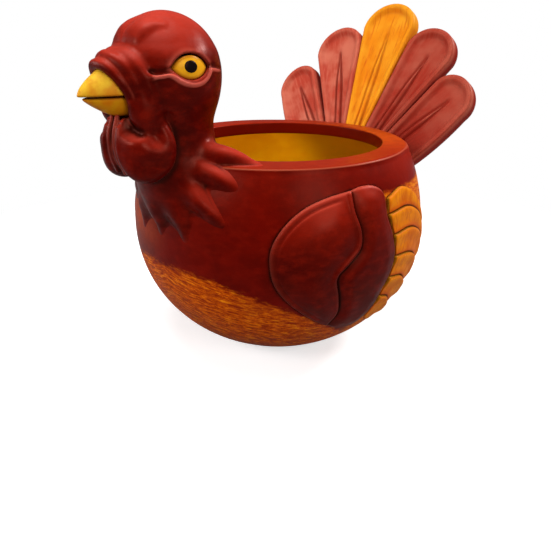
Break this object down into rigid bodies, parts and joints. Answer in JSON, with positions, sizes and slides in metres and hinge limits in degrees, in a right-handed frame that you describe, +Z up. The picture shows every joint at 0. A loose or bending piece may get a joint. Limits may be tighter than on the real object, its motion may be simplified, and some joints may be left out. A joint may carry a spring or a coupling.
{
  "type": "turkey-shaped planter bowl",
  "caption": "Painted resin turkey whose round body is an open bowl, with a head over the front of the rim and a fan of tail feathers behind.",
  "frame": {"origin": "centre of the flat foot, on the surface the bowl stands on", "axes": "+Z up, the bird faces -Y, its left side is +X"},
  "size_m": [0.1168, 0.1547, 0.1233],
  "materials": {
    "bowl_paint": "satin paint over cast resin, red above, streaked amber below and inside",
    "red_paint": "satin paint over cast resin, darker in the hollows",
    "wing_paint": "satin paint over cast resin, lighter on the edges",
    "tail_paint": "dry-brushed dusty red paint over cast resin",
    "amber_paint": "dry-brushed amber paint with orange streaks over cast resin",
    "black_paint": "gloss"
  },
  "bodies": {
    "root": {"bowl_body": "bowl_paint", "head_and_neck": "red_paint", "beak_upper": "amber_paint", "beak_lower": "amber_paint", "snood": "red_paint", "eye_left": "amber_paint", "pupil_left": "black_paint", "cheek_lobe_left": "red_paint", "wattle_left": "red_paint", "eye_right": "amber_paint", "pupil_right": "black_paint", "cheek_lobe_right": "red_paint", "wattle_right": "red_paint", "ruff_lappet_front": "red_paint", "ruff_lappet_left_1": "red_paint", "ruff_lappet_left_2": "red_paint", "ruff_lappet_left_3": "red_paint", "ruff_lappet_left_4": "red_paint", "ruff_lappet_right_1": "red_paint", "ruff_lappet_right_2": "red_paint", "ruff_lappet_right_3": "red_paint", "ruff_lappet_right_4": "red_paint", "wing_front_left": "wing_paint", "wing_rear_left": "wing_paint", "flight_feather_left_1": "amber_paint", "flight_feather_left_2": "amber_paint", "flight_feather_left_3": "amber_paint", "flight_feather_left_4": "amber_paint", "flight_feather_left_5": "amber_paint", "flight_feather_left_6": "amber_paint", "wing_front_right": "wing_paint", "wing_rear_right": "wing_paint", "flight_feather_right_1": "amber_paint", "flight_feather_right_2": "amber_paint", "flight_feather_right_3": "amber_paint", "flight_feather_right_4": "amber_paint", "flight_feather_right_5": "amber_paint", "flight_feather_right_6": "amber_paint", "tail_feather_right_outer": "tail_paint", "tail_feather_right_inner": "tail_paint", "tail_feather_centre": "amber_paint", "tail_feather_left_inner": "tail_paint", "tail_feather_left_outer": "tail_paint"}
  },
  "joints": []
}
